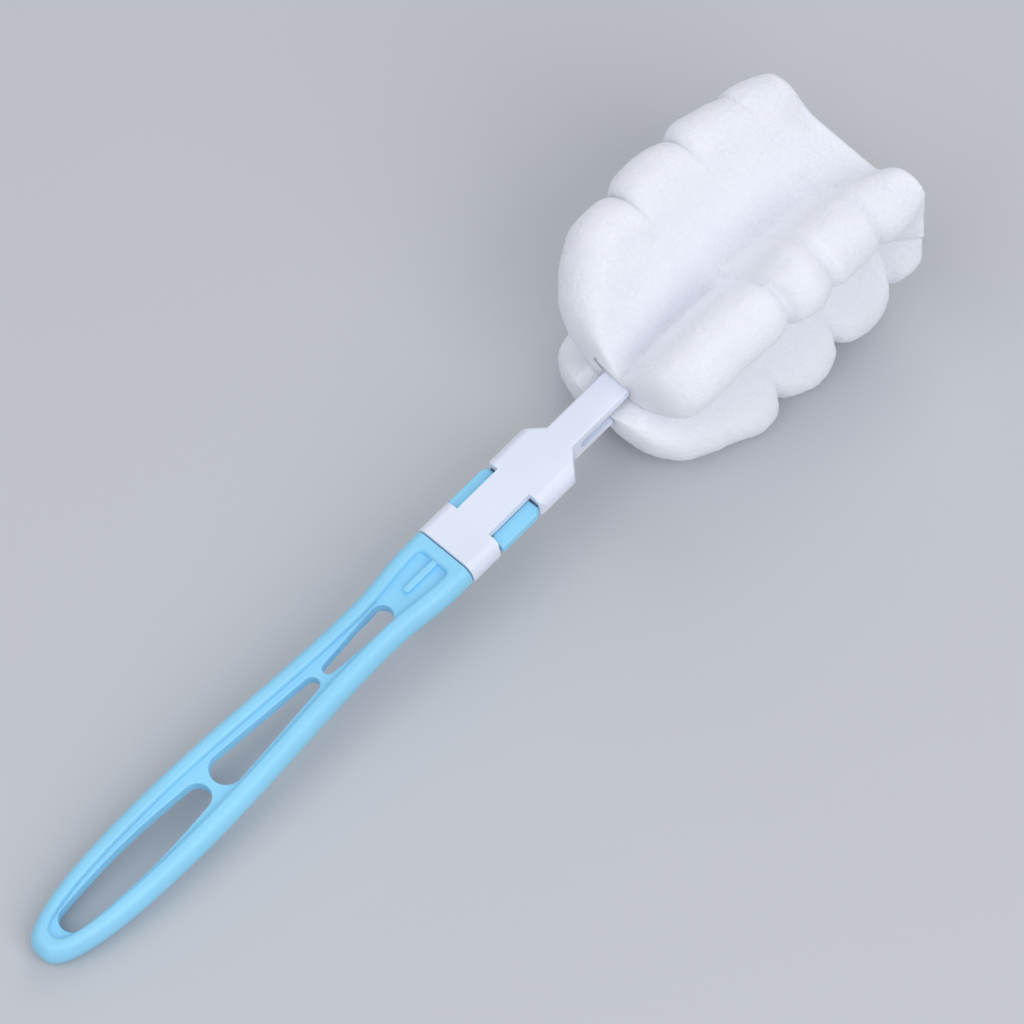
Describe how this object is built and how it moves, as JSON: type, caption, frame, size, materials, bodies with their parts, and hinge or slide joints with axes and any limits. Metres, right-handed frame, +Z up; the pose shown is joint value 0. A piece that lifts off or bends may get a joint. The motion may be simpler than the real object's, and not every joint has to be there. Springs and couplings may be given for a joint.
{
  "type": "sponge bottle brush",
  "caption": "Bottle brush with a looped plastic handle, a clip-on head held by squeeze latches, and a scalloped four-leaf foam sponge gripped in a fork.",
  "frame": {"origin": "centre of the bounding box's bottom: the plane that the brush rests on", "axes": "+X from the handle's butt to the sponge's tip (the brush's own axis rises towards the tip at its resting pitch), +Z up, +Y to the left of someone who looks along +X from the butt, front face up"},
  "size_m": [0.2612, 0.0562, 0.0564],
  "materials": {
    "blue_plastic": "smooth sky-blue moulding, satin",
    "white_plastic": "smooth white moulding, satin",
    "white_foam": "matt open-cell foam"
  },
  "bodies": {
    "brush": {"handle": "blue_plastic", "head": "white_plastic", "foam_sheet_front": "white_foam", "foam_sheet_rear": "white_foam"},
    "latch_left": {"latch_arm_left": "blue_plastic"},
    "latch_right": {"latch_arm_right": "blue_plastic"}
  },
  "joints": [
    {"name": "latch_left_press", "type": "hinge", "parent": "brush", "child": "latch_left", "pos_m": [-0.00011, 0.00573, 0.01705], "axis": [0.1048, 0, -0.9945], "range_deg": [0, 13], "stiffness_Nm_per_rad": 0.1},
    {"name": "latch_right_press", "type": "hinge", "parent": "brush", "child": "latch_right", "pos_m": [-0.00011, -0.00637, 0.01705], "axis": [-0.1048, 0, 0.9945], "range_deg": [0, 13], "stiffness_Nm_per_rad": 0.1}
  ]
}
